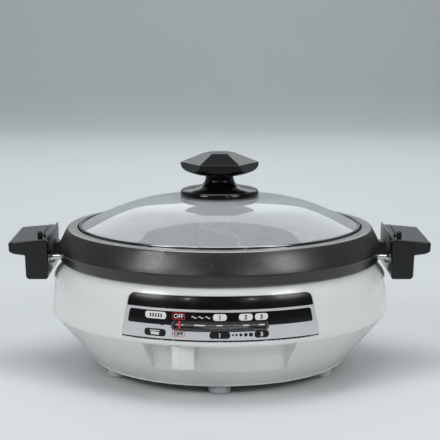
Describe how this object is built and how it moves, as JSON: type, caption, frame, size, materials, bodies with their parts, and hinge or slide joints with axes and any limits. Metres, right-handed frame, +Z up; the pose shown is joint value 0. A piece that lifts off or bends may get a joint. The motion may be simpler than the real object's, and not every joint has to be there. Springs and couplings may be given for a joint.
{
  "type": "electric hot pot",
  "caption": "Round table hot pot: heated base with slide temperature lever, S-divided cast pot with side handles, and lift-off domed glass lid.",
  "frame": {"origin": "centre of the footprint, on the surface the feet stand on", "axes": "+X to the right along the line through the two handles, +Y to the back, +Z up; the control panel faces -Y"},
  "size_m": [0.5078, 0.414, 0.2628],
  "materials": {
    "white_shell": "smooth moulded",
    "white_cover": "fine textured",
    "silver_panel": "silver print on plastic",
    "dark_window": "smoked",
    "lamp_grey": "translucent",
    "foot_rubber": "translucent white",
    "zinc_steel": "zinc plated",
    "grey_liner": "satin grey",
    "bright_dish": "spun bright",
    "heater_sheath": "oxidised nickel alloy",
    "ceramic": "glazed ceramic",
    "dark_plastic": "moulded",
    "bright_steel": "polished stainless",
    "wire_sleeve": "glass-fibre sleeve",
    "red_pointer": "bright red",
    "pot_coating": "speckled nonstick on cast aluminium",
    "bare_aluminium": "machined",
    "black_gloss": "phenolic, polished",
    "grey_shield": "satin grey",
    "lid_glass": "tempered, clear",
    "grey_rubber": "silicone"
  },
  "bodies": {
    "base": {"base_shell": "white_shell", "control_panel": "silver_panel", "pointer_window": "dark_window", "indicator_lamp": "lamp_grey", "bottom_plate": "white_cover", "base_feet": "foot_rubber", "base_screws": "zinc_steel", "inner_liner": "grey_liner", "reflector_pan": "bright_dish", "pan_posts": "zinc_steel", "pan_screws": "zinc_steel", "heating_element": "heater_sheath", "element_bushes": "ceramic", "heater_supports": "ceramic", "sensor_guide": "zinc_steel", "sensor_spring": "zinc_steel", "thermostat_body": "dark_plastic", "thermostat_bracket": "zinc_steel", "thermal_fuse": "ceramic", "terminal_block": "dark_plastic", "power_inlet": "dark_plastic", "inlet_pins": "bright_steel", "lever_track": "zinc_steel", "internal_wiring": "wire_sleeve"},
    "lever": {"temperature_lever": "white_shell", "lever_carriage": "white_cover", "pointer": "red_pointer"},
    "sensor": {"sensor_plunger": "bright_dish"},
    "pot": {"pot": "pot_coating", "pot_base_plate": "bare_aluminium", "pot_divider": "pot_coating", "handle_right": "black_gloss", "handle_left": "black_gloss", "heat_shield_right": "grey_shield", "heat_shield_left": "grey_shield", "handle_pins": "bright_steel", "handle_nuts": "bright_steel", "lid_rest_pegs": "black_gloss", "lid_rest_tabs": "grey_shield"},
    "lid": {"lid_glass": "lid_glass", "lid_band": "bright_steel", "knob_gasket": "grey_rubber", "knob_skirt": "black_gloss", "knob_grip": "black_gloss", "knob_screw": "bright_steel", "knob_washer": "grey_rubber", "knob_bush": "grey_rubber"}
  },
  "joints": [
    {"name": "pot_lift", "type": "slide", "parent": "base", "child": "pot", "axis": [0, 0, 1], "range_m": [0, 0.0975]},
    {"name": "lid_lift", "type": "slide", "parent": "pot", "child": "lid", "axis": [0, 0, 1], "range_m": [0, 0.0391]},
    {"name": "lever_turn", "type": "hinge", "parent": "base", "child": "lever", "pos_m": [0, 0, 0.055], "axis": [0, 0, 1], "range_deg": [0, 25]},
    {"name": "sensor_press", "type": "slide", "parent": "base", "child": "sensor", "axis": [0, 0, -1], "range_m": [0, 0.003], "stiffness_N_per_m": 150, "springref_m": -0.001, "deforming": ["sensor_spring"]}
  ]
}
